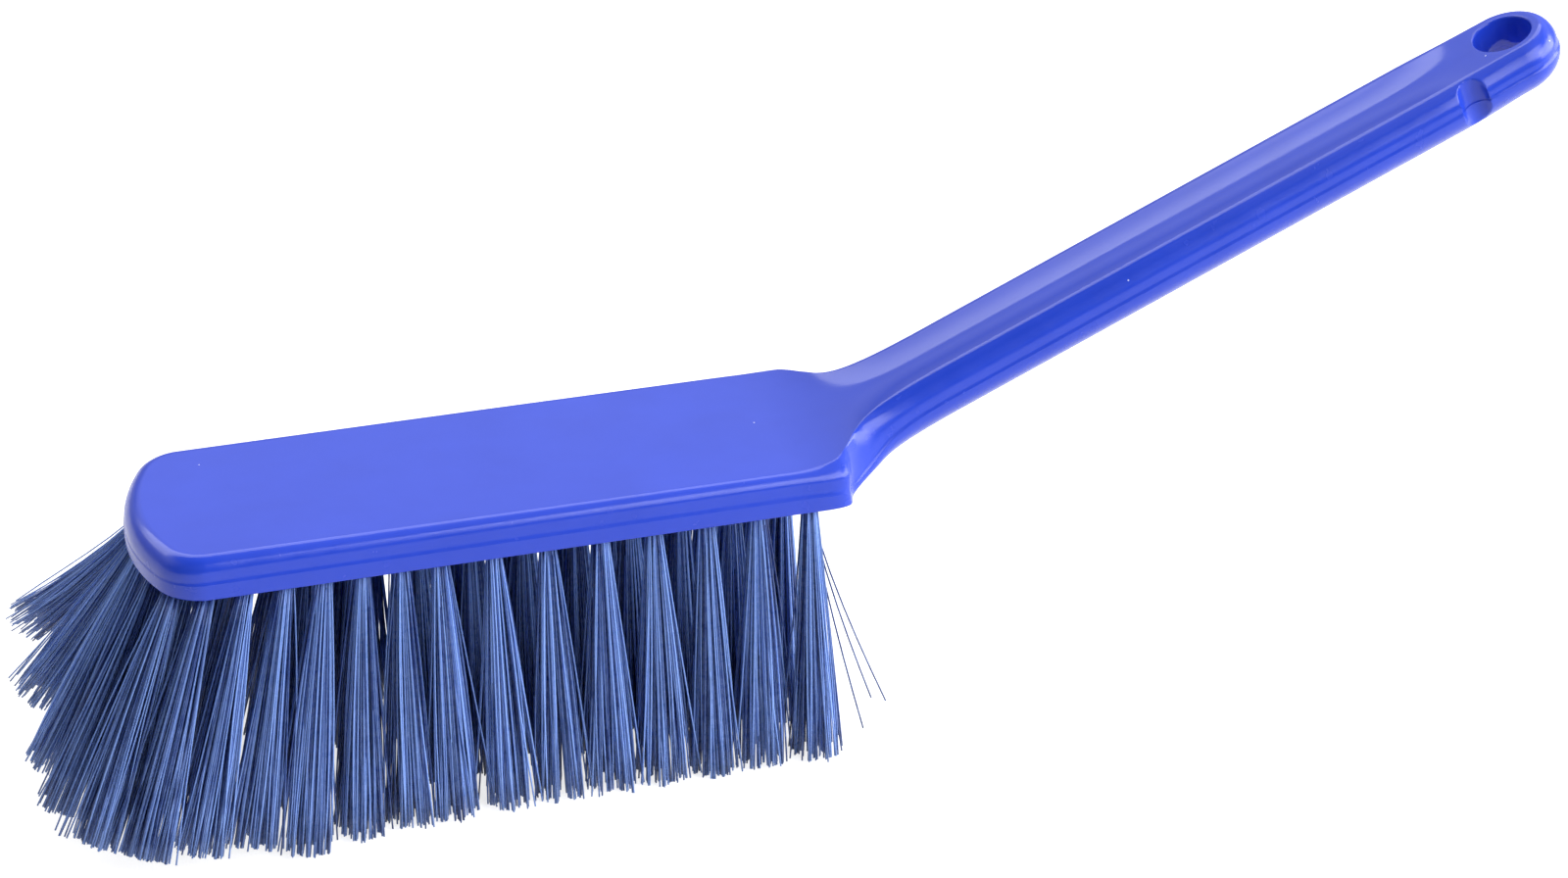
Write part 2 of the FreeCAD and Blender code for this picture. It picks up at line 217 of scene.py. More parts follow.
def ring_stations():
    """The ring: the section widens up to the hole, then half a turn about the hole closes the end."""
    s = np.linspace(ring_s - RING_RUN, ring_s, RING_STEPS)
    turn = np.linspace(0, np.pi / 2, RING_END_STEPS)[1:]
    growth = smooth_step(s, s[0], s[-1])

    def line(narrow, wide):
        """A line that widens along the ring's run, then turns about the hole."""
        along = np.concatenate([s, ring_s + wide * np.sin(turn)])
        side = np.concatenate([narrow + (wide - narrow) * growth, wide * np.cos(turn)])
        return along, side

    depth = np.concatenate([GRIP_DEPTH + (RING_DEPTH - GRIP_DEPTH) * growth, np.full(turn.size, RING_DEPTH)])
    return stations(line(GRIP_HALF, RING_HALF), line(GRIP_CREST, RING_CREST), ring_s,
                    GRIP_ROUND, GRIP_PARTING, depth, 1, 1)


def moulding_surface():
    """Points on a grid of stations round the outline by rows from the middle of the top, over the crest, the
    rounding, the wall and the parting line, and along the belly to the middle of the underside. Round the
    hanging hole the middle is the hole's rim, and more rows follow its wall."""
    parts = [block_stations(), through(NECK_STATIONS, NECK_STEPS), grip_stations(), ring_stations()]
    half = np.vstack(parts)
    in_ring = np.arange(len(half)) >= len(half) - len(parts[-1])
    order = np.concatenate([np.arange(len(half)), np.arange(len(half) - 2, 0, -1)])
    hand = np.where(np.arange(order.size) < len(half), 1, -1)
    half, in_ring = half[order], in_ring[order]
    out_s, out_y, crest_s, crest_y, middle_s, drop, parting, depth, edge, joined = half.T[:, :, None]
    hand = hand[:, None]
    out_y, crest_y = out_y * hand, crest_y * hand

    before = np.clip((ring_s - out_s) / RING_RUN, 0, 1)
    beyond = np.arccos(np.clip(np.abs(out_y) / RING_HALF, 0, 1))
    angle = np.where(out_s < ring_s, np.pi / 2 * (1 + before), np.pi / 2 - beyond)
    ring = in_ring[:, None]

    def middle(radius):
        """The middle line, or inside the ring the point of a circle about the hole."""
        s = np.where(ring, ring_s + radius * np.cos(angle), middle_s)
        y = np.where(ring, radius * np.sin(angle) * hand, 0)
        return s, y

    # The top runs from the middle line to the crest, and is dished along the handle.
    rim_s, rim_y = middle(HOLE_RADIUS + HOLE_ROUND)
    top_s = rim_s + (crest_s - rim_s) * TOP_SHARES
    top_y = rim_y + (crest_y - rim_y) * TOP_SHARES
    reach = np.interp(top_s, NECK_STATIONS[3:, 2], NECK_STATIONS[3:, 3])
    dish = smooth_step(top_s, DISH_START, DISH_FULL)
    dish = dish * (1 - smooth_step(top_s, ring_s - DISH_FADE, ring_s - DISH_END))
    sink = -DISH_DEPTH * dish * np.clip(1 - (top_y / reach) ** 2, 0, 1)
    top = bent(top_s, top_y, sink)

    # The rounding is a quarter of an oval from the crest down to the wall, and the wall ends at the parting.
    turn = np.linspace(0, np.pi / 2, ROUNDING_STEPS)[1:]
    start = bent(crest_s, crest_y, 0)
    brow = bent(out_s, out_y, 0, joined)
    heel = bent(out_s, out_y, -drop, joined)
    swell = 1 + (RING_SWELL - 1) * smooth_step(out_s, ring_s - RING_RUN, ring_s - RING_RUN / 3)
    outwards = (np.sin(turn) ** swell)[:, :, None]
    downwards = (1 - np.cos(turn) ** swell)[:, :, None]
    rounding = start + (brow - start) * outwards + (heel - brow) * downwards

    wall_drop = drop + (parting - PARTING_REACH - drop) * WALL_SHARES
    wall = bent(out_s, out_y, -wall_drop, joined)

    # The parting line is a fine ridge, pushed outwards from the wall.
    foot_s, foot_y = middle(HOLE_RADIUS + HOLE_FOOT_ROUND)
    seam = bent(out_s, out_y, -parting, joined)
    away = out_y - foot_y
    outward = np.stack([out_s - foot_s, away, 0 * away], -1)
    outward = outward / np.linalg.norm(outward, axis=-1, keepdims=True)
    ridge = seam + outward * PARTING_RIDGE

    # The belly is a quarter of a squared oval from the ridge to the keel. Under the ring it is a plain oval.
    sweep = np.linspace(0, np.pi / 2, BELLY_STEPS)[1:]
    below = np.sin(sweep) ** edge
    inward = np.cos(sweep) ** edge
    near = np.broadcast_to(PARTING_REACH / (depth - parting), depth.shape)
    below = np.hstack([near, np.maximum(below, near * BELLY_START_SHARE)])
    inward = np.hstack([(1 - np.minimum(near, 1) ** (2 / edge)) ** (edge / 2), inward])
    belly_s = foot_s + (out_s - foot_s) * inward
    belly_y = foot_y + (out_y - foot_y) * inward
    half_here = np.where(out_s < ring_s, np.abs(out_y), RING_HALF)
    radial = np.hypot(np.maximum(belly_s - ring_s, 0), belly_y) / np.where(ring, half_here, 1)
    below = np.where(ring, np.sqrt(np.clip(1 - radial ** 2, 0, 1)), below)
    keel = bent(foot_s, foot_y, -parting)
    keel_drop = bent(foot_s, foot_y, -depth) - keel
    belly = keel + (ridge - keel) * inward[:, :, None] + keel_drop * below[:, :, None]

    rows = np.concatenate([top, rounding, wall, ridge, belly], axis=1)

    # The hole's wall follows its rounded rim down to a small ledge where the mould's two pins met.
    quarter = np.linspace(0, np.pi / 2, RIM_STEPS)[1:]
    foot_n = -parting - (depth - parting) * below[:, -1:]
    waist = 0 * foot_n - RING_DEPTH / 2
    bore = HOLE_RADIUS + 0 * foot_n
    radii = [bore + HOLE_ROUND * (1 - np.sin(q)) for q in quarter]
    heights = [0 * foot_n - HOLE_ROUND * (1 - np.cos(q)) for q in quarter]
    radii += [bore - HOLE_LEDGE, bore, bore]
    heights += [waist, waist - HOLE_LEDGE, foot_n + HOLE_FOOT_ROUND]
    radii, heights = np.hstack(radii), np.hstack(heights)
    bore_wall = bent(ring_s + radii * np.cos(angle), radii * np.sin(angle) * hand, heights)
    return rows, bore_wall, in_ring


def cut_notch(points):
    """Points inside an upright cylinder beside the handle are pushed inwards to its wall, which steps back
    out by a ledge below the parting line."""
    along = np.array([np.cos(HANDLE_ANGLE), 0, np.sin(HANDLE_ANGLE)])
    upward = np.array([-np.sin(HANDLE_ANGLE), 0, np.cos(HANDLE_ANGLE)])
    offset = points - bent(ring_s - NOTCH_SETBACK, 0, 0)
    run = offset @ along
    chord = np.sqrt(np.clip(NOTCH_RADIUS ** 2 - run ** 2, 0, None))
    face = chord - GRIP_HALF - NOTCH_RADIUS + NOTCH_DEPTH
    face = face - NOTCH_LEDGE * (offset @ upward < -GRIP_PARTING)
    inside = (np.abs(run) < NOTCH_RADIUS) & (points[..., 1] < face)
    points[..., 1] = np.where(inside, face, points[..., 1])
    return points


def grid_faces(index):
    """Four corners for each cell of a grid of vertex numbers."""
    return np.stack([index[:-1, :-1], index[1:, :-1], index[1:, 1:], index[:-1, 1:]], -1).reshape(-1, 4)


def placed(name, data):
    """A new object at the origin, put into the scene."""
    thing = bpy.data.objects.new(name, data)
    bpy.context.scene.collection.objects.link(thing)
    return thing


def finish_mesh(name, points, faces, flank, material):
    """A closed, smooth object at the origin: doubles merged, faces turned outwards, sharp bends marked. The
    share of each vertex in the duller flanks is kept as an attribute."""
    mesh = bpy.data.meshes.new(name)
    mesh.from_pydata(points, [], faces)
    mesh.attributes.new("flank", "FLOAT", "POINT").data.foreach_set("value", flank.astype(np.float32))
    work = bmesh.new()
    work.from_mesh(mesh)
    bmesh.ops.remove_doubles(work, verts=work.verts, dist=MERGE_DISTANCE)
    bmesh.ops.dissolve_degenerate(work, edges=work.edges, dist=MERGE_DISTANCE)
    bmesh.ops.recalc_face_normals(work, faces=work.faces)
    work.to_mesh(mesh)
    work.free()
    mesh.shade_smooth()
    mesh.set_sharp_from_angle(angle=SHARP_ANGLE)
    mesh.materials.append(material)
    return placed(name, mesh)


def node_tree(name):
    """A new material's nodes and links, with its shader and output already joined."""
    material = bpy.data.materials.new(name)
    material.use_nodes = True
    nodes, links = material.node_tree.nodes, material.node_tree.links
    return material, nodes, links, nodes["Principled BSDF"]


WANDER_DETAIL = 3
WANDER_NOISE_LOW = 0.3
WANDER_NOISE_HIGH = 0.7


def wander_group():
    """Soft random change over a surface: noise at a scale, brought between a low and a high value."""
    group = bpy.data.node_groups.new("surface_wander", "ShaderNodeTree")
    group.interface.new_socket("Vector", in_out="INPUT", socket_type="NodeSocketVector")
    for socket in ("Scale", "Low", "High"):
        group.interface.new_socket(socket, in_out="INPUT", socket_type="NodeSocketFloat")
    group.interface.new_socket("Value", in_out="OUTPUT", socket_type="NodeSocketFloat")
    enter = group.nodes.new("NodeGroupInput")
    leave = group.nodes.new("NodeGroupOutput")
    noise = group.nodes.new("ShaderNodeTexNoise")
    noise.inputs["Detail"].default_value = WANDER_DETAIL
    spread = group.nodes.new("ShaderNodeMapRange")
    spread.inputs["From Min"].default_value = WANDER_NOISE_LOW
    spread.inputs["From Max"].default_value = WANDER_NOISE_HIGH
    group.links.new(enter.outputs["Vector"], noise.inputs["Vector"])
    group.links.new(enter.outputs["Scale"], noise.inputs["Scale"])
    group.links.new(noise.outputs["Fac"], spread.inputs["Value"])
    group.links.new(enter.outputs["Low"], spread.inputs["To Min"])
    group.links.new(enter.outputs["High"], spread.inputs["To Max"])
    group.links.new(spread.outputs["Result"], leave.inputs["Value"])
    return group


WANDER = wander_group()


def wander(nodes, links, vector, scale, low, high):
    """Places the shared wander in a material with its own values."""
    node = nodes.new("ShaderNodeGroup")
    node.node_tree = WANDER
    node.inputs["Scale"].default_value = scale
    node.inputs["Low"].default_value = low
    node.inputs["High"].default_value = high
    links.new(vector, node.inputs["Vector"])
    return node.outputs["Value"]


def colour_mix(nodes, links, factor, first, second):
    """A colour between two colours or sockets, by a factor."""
    mix = nodes.new("ShaderNodeMix")
    mix.data_type = "RGBA"
    links.new(factor, mix.inputs["Factor"])
    for socket, value in ((mix.inputs["A"], first), (mix.inputs["B"], second)):
        if isinstance(value, tuple):
            socket.default_value = (*value, 1)
        else:
            links.new(value, socket)
    return mix.outputs["Result"]


def worked(nodes, links, operation, *values):
    """The result of a sum, a product or a comparison of sockets and plain numbers."""
    node = nodes.new("ShaderNodeMath")
    node.operation = operation
    for socket, value in zip(node.inputs, values):
        if isinstance(value, (int, float)):
            socket.default_value = value
        else:
            links.new(value, socket)
    return node.outputs[0]


# Each wander below gives the scale of the noise, then its low and its high value.
PLASTIC_BLUE = (0.021, 0.062, 0.60)
PLASTIC_BLUE_DEEP = (0.018, 0.056, 0.56)
DUST = (0.5, 0.56, 0.88)
DUST_SCALE = 90
DUST_SIZE = 0.018
MOTTLE_WANDER = (60, 0, 1)
POLISH_WANDER = (45, 0.05, 0.13)
FLANK_POLISH_WANDER = (220, 0.20, 0.28)
SINK_WANDER = (30, 0, 0.3)
PEEL_WANDER = (1500, 0, 0.02)
RIPPLE_STRENGTH = 0.35
RIPPLE_HEIGHT = 0.12 * MM
PLASTIC_SPECULAR = 0.44


def moulding_finish():
    """Glossy polypropylene: faint mottling of its blue, polish that wanders and is duller on the flanks, sink
    and orange-peel ripples, and a few specks of dust."""
    material, nodes, links, shader = node_tree("royal_blue_polypropylene")
    place = nodes.new("ShaderNodeTexCoord").outputs["Object"]
    mottle = wander(nodes, links, place, *MOTTLE_WANDER)
    colour = colour_mix(nodes, links, mottle, PLASTIC_BLUE, PLASTIC_BLUE_DEEP)
    specks = nodes.new("ShaderNodeTexVoronoi")
    specks.inputs["Scale"].default_value = DUST_SCALE
    links.new(place, specks.inputs["Vector"])
    dusty = worked(nodes, links, "LESS_THAN", specks.outputs["Distance"], DUST_SIZE)
    colour = colour_mix(nodes, links, dusty, colour, DUST)
    links.new(colour, shader.inputs["Base Color"])
    flank = nodes.new("ShaderNodeAttribute")
    flank.attribute_name = "flank"
    polish = nodes.new("ShaderNodeMix")
    links.new(flank.outputs["Fac"], polish.inputs["Factor"])
    links.new(wander(nodes, links, place, *POLISH_WANDER), polish.inputs["A"])
    links.new(wander(nodes, links, place, *FLANK_POLISH_WANDER), polish.inputs["B"])
    links.new(polish.outputs["Result"], shader.inputs["Roughness"])
    sink = wander(nodes, links, place, *SINK_WANDER)
    peel = wander(nodes, links, place, *PEEL_WANDER)
    bump = nodes.new("ShaderNodeBump")
    bump.inputs["Strength"].default_value = RIPPLE_STRENGTH
    bump.inputs["Distance"].default_value = RIPPLE_HEIGHT
    links.new(worked(nodes, links, "ADD", sink, peel), bump.inputs["Height"])
    links.new(bump.outputs["Normal"], shader.inputs["Normal"])
    shader.inputs["Specular IOR Level"].default_value = PLASTIC_SPECULAR
    return material


rows, bore_wall, in_ring = moulding_surface()
rows = cut_notch(rows)
count, width = rows.shape[:2]
# Past the first few rows of the rounding lie the duller flanks. The hole's wall is polished.
on_flank = np.broadcast_to(np.arange(width) > FLANK_ROW, (count, width))
flank = np.concatenate([on_flank.ravel(), np.zeros(bore_wall[..., 0].size)])
grid = np.arange(count * width).reshape(count, width)
loop = np.vstack([grid, grid[:1]])
bore_grid = count * width + np.arange(count * bore_wall.shape[1]).reshape(count, -1)
bore_loop = np.hstack([grid[:, :1], bore_grid, grid[:, -1:]])[in_ring]
body = finish_mesh(
    "moulding",
    np.concatenate([rows.reshape(-1, 3), bore_wall.reshape(-1, 3)]),
    np.concatenate([grid_faces(loop), grid_faces(bore_loop)]),
    flank,
    moulding_finish())
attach(body, "root")
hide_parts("body")

# The anchors: short lengths of flat rolled steel wire, one across the fold of each tuft.
# A machine drives them into the holes with the filaments, and their ends bite into the plastic.
STEEL = (0.55, 0.55, 0.53)
STEEL_DULL = (0.36, 0.35, 0.34)
DULL_WANDER = (2500, 0, 1)
STEEL_POLISH_WANDER = (4000, 0.25, 0.45)


def anchor_finish():
    """Rolled wire: bright steel with duller drawn marks, and a roughness that wanders on its own."""
    material, nodes, links, shader = node_tree("rolled_wire")
    place = nodes.new("ShaderNodeTexCoord").outputs["Object"]
    dull = wander(nodes, links, place, *DULL_WANDER)
    links.new(colour_mix(nodes, links, dull, STEEL, STEEL_DULL), shader.inputs["Base Color"])
    links.new(wander(nodes, links, place, *STEEL_POLISH_WANDER), shader.inputs["Roughness"])
    shader.inputs["Metallic"].default_value = 1
    return material


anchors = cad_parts["anchors"]
anchors.data.materials.clear()
anchors.data.materials.append(anchor_finish())

# The tufts: bundles of drawn blue filament, folded in two over their anchors and pressed into the block.
# The filaments fan out below the block, lie together in small pointed locks, and were trimmed level.
FILAMENTS = 150
FILAMENT_RADIUS = 0.2 * MM
FILAMENT_SIDES = 4
FILAMENT_RINGS = 7
FILAMENT_SHARES = np.linspace(0, 1, FILAMENT_RINGS)
ROOT_RADIUS = 1.55 * MM
ROOT_SINK = 1.5 * MM
ROOT_SLICE = 0.1 * MM
TRIM_SLICE = 0.02 * MM
TIP_SLICE = 0.4 * MM
TIP_ROUNDS = 6
FLOOR_GAP = 0.5 * MM
LOCKS = 30
LOCK_PULL = 0.35
LOCK_POWER = 4
LOCK_REACH = 0.5
LOCK_STEP = 1.2 * MM
LOCK_SPREAD = 0.35 * MM
BOW = 0.45 * MM
STRAY_SHARE = 0.12
STRAY_REACH = 1.6
TIP_POWER = 4
TIP_SCATTER = 0.05
TRIM_SCATTER = 0.3 * MM
FLOOR_CLEARANCE = 0.1 * MM
# The leaning tufts of the nose fan carry painted shade on the near side and painted light on the far side, in
# full from a lean of FAN_LEAN.
FAN_LEAN = 0.4
FAN_PAINTED_LIGHT_AND_SHADE = 0.35

# How far the tips of three long strays, and of the tufts splayed by use, stand off their tufts' own lines.
STRAY_TUFT = "left_tuft_01"
REAR_STRAYS = np.array([(12.4, 0, 3.9), (14.2, 0, 12.1), (17.8, 0, 10.6)]) * MM
STRAY_POWER = 1.2
SPLAYED = {"right_tuft_14": (-2, 3, 5), "right_tuft_15": (-5, 6, 10), "right_tuft_16": (-1.5, 2, 4)}
SPLAY_POWER = 1.5


def unit_of(vector):
    """The vector divided by its length."""
    return vector / np.linalg.norm(vector)


def tuft_form(node):
    """Mouth, run to the tip and the two half axes of the tip of a tuft, measured on the corners of its solid.
    The tip of a level tuft is its lowest corners. That of a leaning one is the corners that reach furthest
    along the line from the root, which is found in a few rounds."""
    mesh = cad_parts[node].data
    corners = np.empty(len(mesh.vertices) * 3, np.float32)
    mesh.vertices.foreach_get("co", corners)
    corners = corners.reshape(-1, 3).astype(float)
    low, high = corners[:, 2].min(), corners[:, 2].max()
    root = corners[corners[:, 2] > high - ROOT_SLICE].mean(0)
    tip = corners[corners[:, 2] < low + TRIM_SLICE]
    line = unit_of(tip.mean(0) - root)
    if low > FLOOR_GAP or np.ptp(tip[:, 0]) < ROOT_RADIUS:
        for _ in range(TIP_ROUNDS):
            run = (corners - root) @ line
            tip = corners[run > run.max() - TIP_SLICE]
            line = unit_of((tip.min(0) + tip.max(0)) / 2 - root)
    middle = (tip.min(0) + tip.max(0)) / 2
    line = middle - root
    mouth = root + line * (root[2] - body_low.z) / -line[2]
    axis = middle - mouth
    unit = unit_of(axis)
    across = unit_of(np.array([0, 1, 0]) - unit * unit[1])
    along = np.cross(unit, across)
    half_along = np.ptp(tip @ along) / 2
    half_across = np.ptp(tip @ across) / 2
    return mouth, axis, along * half_along, across * half_across


def filament_paths(mouth, axis, along, across, random):
    """Middle lines of a tuft's filaments, as an array of filaments by rings. A filament runs from a point of
    the root's disc to the same point of the tip's oval, which is squared off. Towards its end it is drawn to
    the middle of its lock, and it is shorter the further it stands from that middle. It bows sideways along
    half a sine."""
    far = np.sqrt(random.random(FILAMENTS))
    turn = random.random(FILAMENTS) * 2 * np.pi
    disc = np.stack([far * np.cos(turn), far * np.sin(turn)], -1)
    squared = (np.cos(turn) ** TIP_POWER + np.sin(turn) ** TIP_POWER) ** (-1 / TIP_POWER)
    tip = disc * squared[:, None] + TIP_SCATTER * random.standard_normal((FILAMENTS, 2))
    stray = random.random(FILAMENTS) < STRAY_SHARE
    tip[:, 0] *= np.where(stray, STRAY_REACH, 1)
    locks = tip[random.choice(FILAMENTS, LOCKS, replace=False)]
    gap = np.linalg.norm(tip[:, None] - locks, axis=-1)
    nearest = gap.argmin(1)
    length = np.linalg.norm(axis)
    short = LOCK_STEP * np.clip(gap.min(1), 0, LOCK_REACH) + LOCK_SPREAD * random.random(LOCKS)[nearest]
    reach = 1 - (short + TRIM_SCATTER * random.random(FILAMENTS)) / length
    t = FILAMENT_SHARES[:, None]
    unit_along, unit_across = unit_of(along), unit_of(across)
    root = ROOT_RADIUS * (disc[:, None, :1] * unit_along + disc[:, None, 1:] * unit_across)
    end = tip[:, None, :1] * along + tip[:, None, 1:] * across
    lock = locks[nearest][:, None, :1] * along + locks[nearest][:, None, 1:] * across
    pull = np.where(stray, 0, LOCK_PULL)[:, None, None] * t ** LOCK_POWER
    sideways = root * (1 - t) + end * t
    sideways = sideways + (lock - sideways) * pull
    bow = BOW * random.standard_normal((FILAMENTS, 1, 2)) * np.sin(np.pi * t)
    sideways = sideways + bow[..., :1] * unit_along + bow[..., 1:] * unit_across
    sink = ROOT_SINK / length
    run = -sink + (reach[:, None, None] + sink) * t
    paths = mouth + axis * run + sideways
    paths[..., 2] = np.maximum(paths[..., 2], FLOOR_CLEARANCE + FILAMENT_RADIUS)
    return paths


def filament_tubes(paths, along, across):
    """Square tubes round the paths, closed at both ends: corners of each ring, quads between the rings."""
    unit_along, unit_across = unit_of(along), unit_of(across)
    turn = np.arange(FILAMENT_SIDES) * 2 * np.pi / FILAMENT_SIDES
    ring = FILAMENT_RADIUS * (np.cos(turn)[:, None] * unit_along + np.sin(turn)[:, None] * unit_across)
    points = paths[:, :, None] + ring
    number = np.arange(points[..., 0].size).reshape(points.shape[:3])
    side = np.concatenate([number, number[..., :1]], -1)
    walls = np.stack([side[:, :-1, :-1], side[:, :-1, 1:], side[:, 1:, 1:], side[:, 1:, :-1]], -1)
    faces = np.concatenate([walls.reshape(-1, 4), number[:, 0, ::-1], number[:, -1]])
    return points, faces


NAVY = (0.016, 0.040, 0.19)
STEEL_BLUE = (0.28, 0.46, 0.99)
PALE_BLUE = (0.40, 0.56, 0.99)
# Painted light on the tips: a wandering share of pale blue, growing from the root, stands for shaded roots
# and lit tips.
TIP_LIGHT_WANDER = (300, 0, 0.3)
GLOSS_WANDER = (700, 0.22, 0.36)
FILAMENT_SPECULAR = 0.3


def filament_finish():
    """Drawn filament: each strand has its own shade of steel blue, with painted shade and painted light on
    the nose fan, and paler towards the tip as a painted gradient from shaded roots to lit tips, with a gloss
    that wanders along it."""
    material, nodes, links, shader = node_tree("steel_blue_filament")
    place = nodes.new("ShaderNodeTexCoord").outputs["Object"]
    shade = nodes.new("ShaderNodeAttribute")
    shade.attribute_name = "shade"
    run = nodes.new("ShaderNodeAttribute")
    run.attribute_name = "run"
    strand_colour = colour_mix(nodes, links, shade.outputs["Fac"], NAVY, STEEL_BLUE)
    # Painted gradient of light: each strand pales towards its tip by a wandering share.
    tip_light = wander(nodes, links, place, *TIP_LIGHT_WANDER)
    tip_lit_share = worked(nodes, links, "MULTIPLY", run.outputs["Fac"], tip_light)
    links.new(colour_mix(nodes, links, tip_lit_share, strand_colour, PALE_BLUE), shader.inputs["Base Color"])
    links.new(wander(nodes, links, place, *GLOSS_WANDER), shader.inputs["Roughness"])
    shader.inputs["Specular IOR Level"].default_value = FILAMENT_SPECULAR
    return material


FILAMENT_FINISH = filament_finish()
tuft_names = sorted(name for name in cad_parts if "tuft" in name)
for seed, name in enumerate(tuft_names):
    random = np.random.default_rng(seed)
    mouth, axis, along, across = tuft_form(name)
    paths = filament_paths(mouth, axis, along, across, random)
    t = FILAMENT_SHARES[:, None]
    if name == STRAY_TUFT:
        paths[:len(REAR_STRAYS)] = mouth + axis * t + REAR_STRAYS[:, None] * t ** STRAY_POWER
    if name in SPLAYED:
        paths = paths + np.array(SPLAYED[name]) * MM * t ** SPLAY_POWER
    points, faces = filament_tubes(paths, along, across)
    mesh = bpy.data.meshes.new(name + "_filaments")
    mesh.from_pydata(points.reshape(-1, 3), [], faces)
    # Strands of the near fan get painted shade and those of the far fan painted light, more the further the
    # tuft leans; each tuft's first few are navy.
    painted_light_and_shade = FAN_PAINTED_LIGHT_AND_SHADE * np.clip(-unit_of(axis)[0] / FAN_LEAN, 0, 1) * np.sign(mouth[1])
    shade = np.sin(np.pi / 2 * random.random(FILAMENTS)) ** 2
    shade = shade + painted_light_and_shade * (1 - shade if painted_light_and_shade > 0 else shade)
    shade[:len(REAR_STRAYS)] = 0
    shade = np.repeat(shade, FILAMENT_RINGS * FILAMENT_SIDES)
    run = np.tile(np.repeat(FILAMENT_SHARES, FILAMENT_SIDES), FILAMENTS)
    for label, values in (("shade", shade), ("run", run)):
        mesh.attributes.new(label, "FLOAT", "POINT").data.foreach_set("value", values.astype(np.float32))
    mesh.shade_smooth()
    mesh.materials.append(FILAMENT_FINISH)
    tuft = placed(name + "_filaments", mesh)
    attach(tuft, "root")
    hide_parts(name)

# The stage: a wide white floor that the trimmed bristles stand on, which keeps a soft shadow.
# To the camera and in reflections it glows up to white, as a lit sweep does.
FLOOR_SIDE = 4.0
FLOOR_FRONT = 0.5
FLOOR_BACK = 5.0
FLOOR_WHITE = 0.6
FLOOR_ROUGHNESS = 0.9
FLOOR_GLOW = 0.6
CAMERA_GLOW = 0.18


def floor_finish():
    """White floor: a diffuse white, with a glow that only the camera, gloss and glass see. The camera
    sees a little more of it."""
    material, nodes, links, shader = node_tree("white_sweep")
    shader.inputs["Base Color"].default_value = (FLOOR_WHITE, FLOOR_WHITE, FLOOR_WHITE, 1)
    shader.inputs["Roughness"].default_value = FLOOR_ROUGHNESS
    shader.inputs["Specular IOR Level"].default_value = 0
    shader.inputs["Emission Color"].default_value = (1, 1, 1, 1)
    ray = nodes.new("ShaderNodeLightPath").outputs
    seen = worked(nodes, links, "MAXIMUM", ray["Is Camera Ray"], ray["Is Glossy Ray"])
    seen = worked(nodes, links, "MAXIMUM", seen, ray["Is Transmission Ray"])
    glow = worked(nodes, links, "MULTIPLY", seen, FLOOR_GLOW)
    glow = worked(nodes, links, "MULTIPLY_ADD", ray["Is Camera Ray"], CAMERA_GLOW, glow)
    links.new(glow, shader.inputs["Emission Strength"])
    return material


floor_mesh = bpy.data.meshes.new("floor")
floor_corners = [(-FLOOR_SIDE, -FLOOR_FRONT, 0), (FLOOR_SIDE, -FLOOR_FRONT, 0),
                 (FLOOR_SIDE, FLOOR_BACK, 0), (-FLOOR_SIDE, FLOOR_BACK, 0)]
floor_mesh.from_pydata(floor_corners, [], [(0, 1, 2, 3)])
floor_mesh.materials.append(floor_finish())
floor = placed("floor", floor_mesh)

# The light: a large softbox behind and above, whose lower edge shows in the dished handle, one in front for
# the flanks, one over the handle and a low key lamp at the right, in a pale room that is white low down
# behind and dim overhead. Looked at straight, the room is white all round.
BROOM_MIDDLE = (0, 0, 0.08)
HANDLE_MIDDLE = (0.12, 0, 0.12)
ROOM_HEIGHTS = (0, 0.66, 0.735, 0.85, 0.90, 1)
ROOM_LEVELS = (0.48, 0.48, 1.1, 1.1, 0.17, 0.17)
ROOM_FRONT = 0.12
ROOM_TURN = (-0.3, 0.2)


def stand(aim, azimuth, elevation, roll, distance):
    """Place of what looks at a point from an azimuth and an elevation in degrees: its back points away from
    the point, its right is level, and the roll turns right and up about the line between."""
    a, e, r = np.radians([azimuth, elevation, roll])
    back = np.array([np.sin(a) * np.cos(e), -np.cos(a) * np.cos(e), np.sin(e)])
    right = np.array([np.cos(a), np.sin(a), 0])
    up = np.cross(back, right)
    place = np.eye(4)
    place[:3, 0] = right * np.cos(r) - up * np.sin(r)
    place[:3, 1] = up * np.cos(r) + right * np.sin(r)
    place[:3, 2] = back
    place[:3, 3] = np.array(aim) + back * distance
    return Matrix(place)


def softbox(name, aim, azimuth, elevation, distance, size, power, roll=0):
    """A rectangular lamp that stands off a point and faces it."""
    lamp = bpy.data.lights.new(name, "AREA")
    lamp.shape = "RECTANGLE"
    lamp.size, lamp.size_y = size
    lamp.energy = power
    placed(name, lamp).matrix_world = stand(aim, azimuth, elevation, roll, distance)


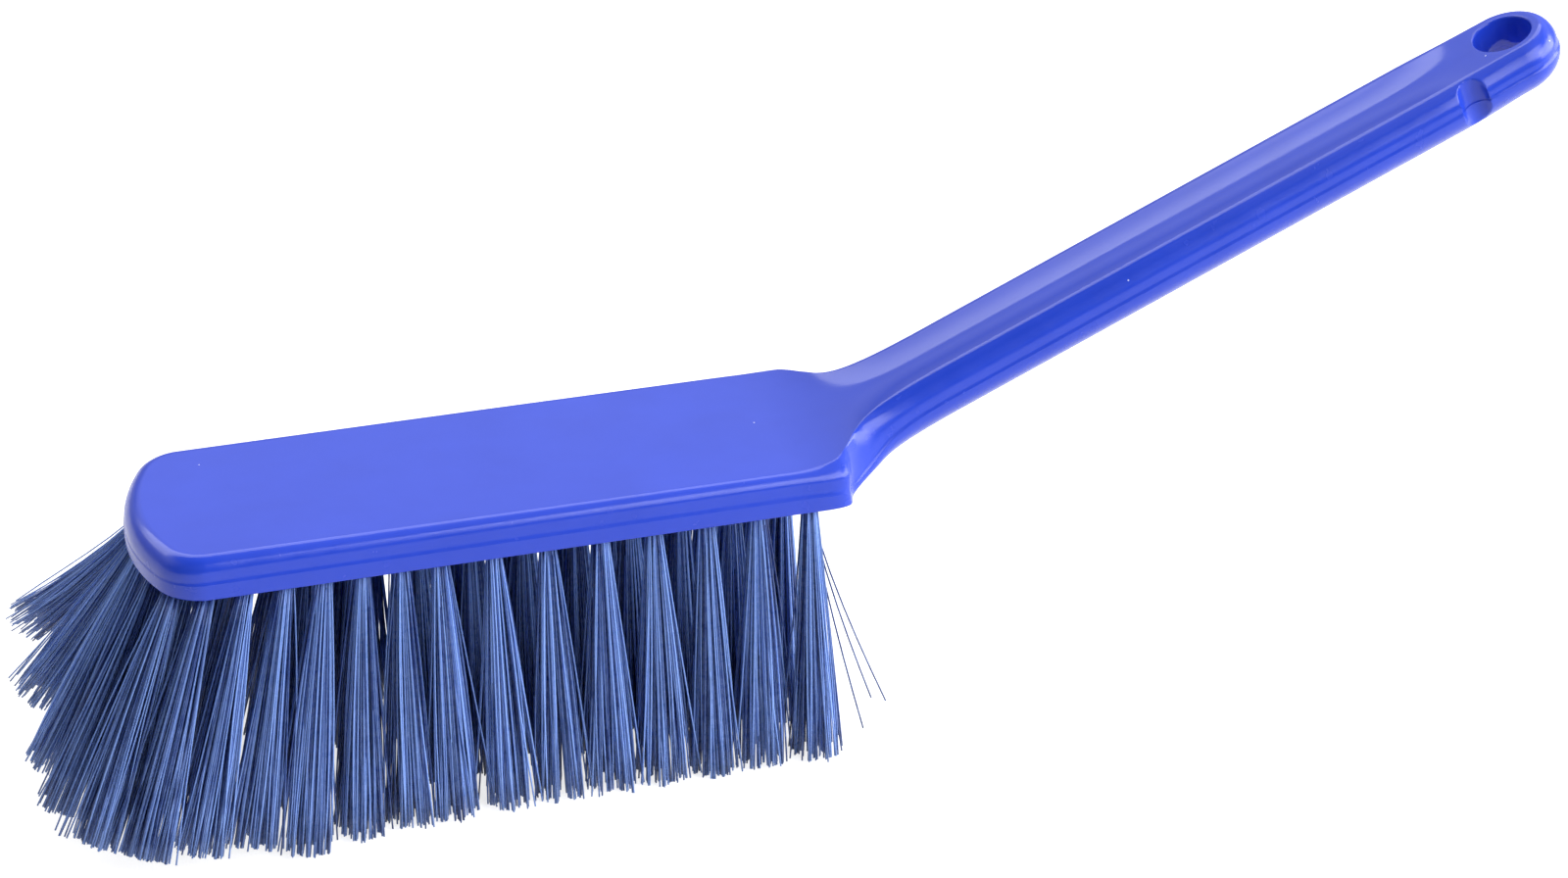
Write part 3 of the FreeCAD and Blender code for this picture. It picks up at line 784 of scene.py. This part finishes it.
def pale_room():
    """The room's light by direction: a curve over the height of the direction, brought from -1 and 1 to 0 and
    1, times a rise from the front to the back. Looked at straight it is white."""
    world = bpy.data.worlds.new("room")
    world.use_nodes = True
    nodes, links = world.node_tree.nodes, world.node_tree.links
    axes = nodes.new("ShaderNodeSeparateXYZ")
    links.new(nodes.new("ShaderNodeTexCoord").outputs["Generated"], axes.inputs["Vector"])
    height = worked(nodes, links, "MULTIPLY_ADD", axes.outputs["Z"], 0.5, 0.5)
    levels = nodes.new("ShaderNodeFloatCurve")
    levels.mapping.use_clip = False
    curve = levels.mapping.curves[0]
    for place, value in zip(ROOM_HEIGHTS[1:-1], ROOM_LEVELS[1:-1]):
        curve.points.new(place, value)
    for point, place, value in zip(curve.points, ROOM_HEIGHTS, ROOM_LEVELS):
        point.location = (place, value)
        point.handle_type = "VECTOR"
    levels.mapping.update()
    links.new(height, levels.inputs["Value"])
    behind = nodes.new("ShaderNodeMapRange")
    for socket, value in zip(("From Min", "From Max", "To Min", "To Max"), (*ROOM_TURN, ROOM_FRONT, 1)):
        behind.inputs[socket].default_value = value
    links.new(axes.outputs["Y"], behind.inputs["Value"])
    level = worked(nodes, links, "MULTIPLY", levels.outputs["Value"], behind.outputs["Result"])
    looked_at = nodes.new("ShaderNodeLightPath").outputs["Is Camera Ray"]
    background = nodes["Background"]
    background.inputs["Color"].default_value = (1, 1, 1, 1)
    links.new(worked(nodes, links, "MAXIMUM", level, looked_at), background.inputs["Strength"])
    return world


softbox("back_softbox", BROOM_MIDDLE, azimuth=194, elevation=50.8, distance=4, size=(5.6, 2.0), power=92,
        roll=27)
softbox("front_softbox", BROOM_MIDDLE, azimuth=32, elevation=30, distance=4, size=(2.9, 2.9), power=138)
softbox("top_softbox", HANDLE_MIDDLE, azimuth=90, elevation=80, distance=0.65, size=(0.9, 0.6), power=1.2)
softbox("key_lamp", BROOM_MIDDLE, azimuth=74, elevation=16, distance=2.0, size=(1.8, 1.0), power=36)
bpy.context.scene.world = pale_room()

# The camera: a long lens that looks down on the near side of the broom, as in the photograph.
# Its picture is shifted to one side and up, so that the broom lies where it does there.
VIEW_AZIMUTH = -16.12
VIEW_ELEVATION = 29.27
VIEW_DISTANCE = 760 * MM
VIEW_TARGET = np.array([-15.3, 0, 64.4]) * MM
IMAGE_WIDTH = 1600
FOCAL_PIXELS = 3360
FRAME_OFFSET = (47.5, 26.0)
SENSOR_WIDTH = 36
NEAR_CLIP = 10 * MM

lens = bpy.data.cameras.new("camera")
lens.sensor_width = SENSOR_WIDTH
lens.lens = SENSOR_WIDTH * FOCAL_PIXELS / IMAGE_WIDTH
lens.shift_x, lens.shift_y = (offset / IMAGE_WIDTH for offset in FRAME_OFFSET)
lens.clip_start = NEAR_CLIP
camera = placed("camera", lens)
camera.matrix_world = stand(VIEW_TARGET, VIEW_AZIMUTH, VIEW_ELEVATION, 0, VIEW_DISTANCE)
bpy.context.scene.camera = camera
bpy.context.scene.view_settings.view_transform = "Standard"
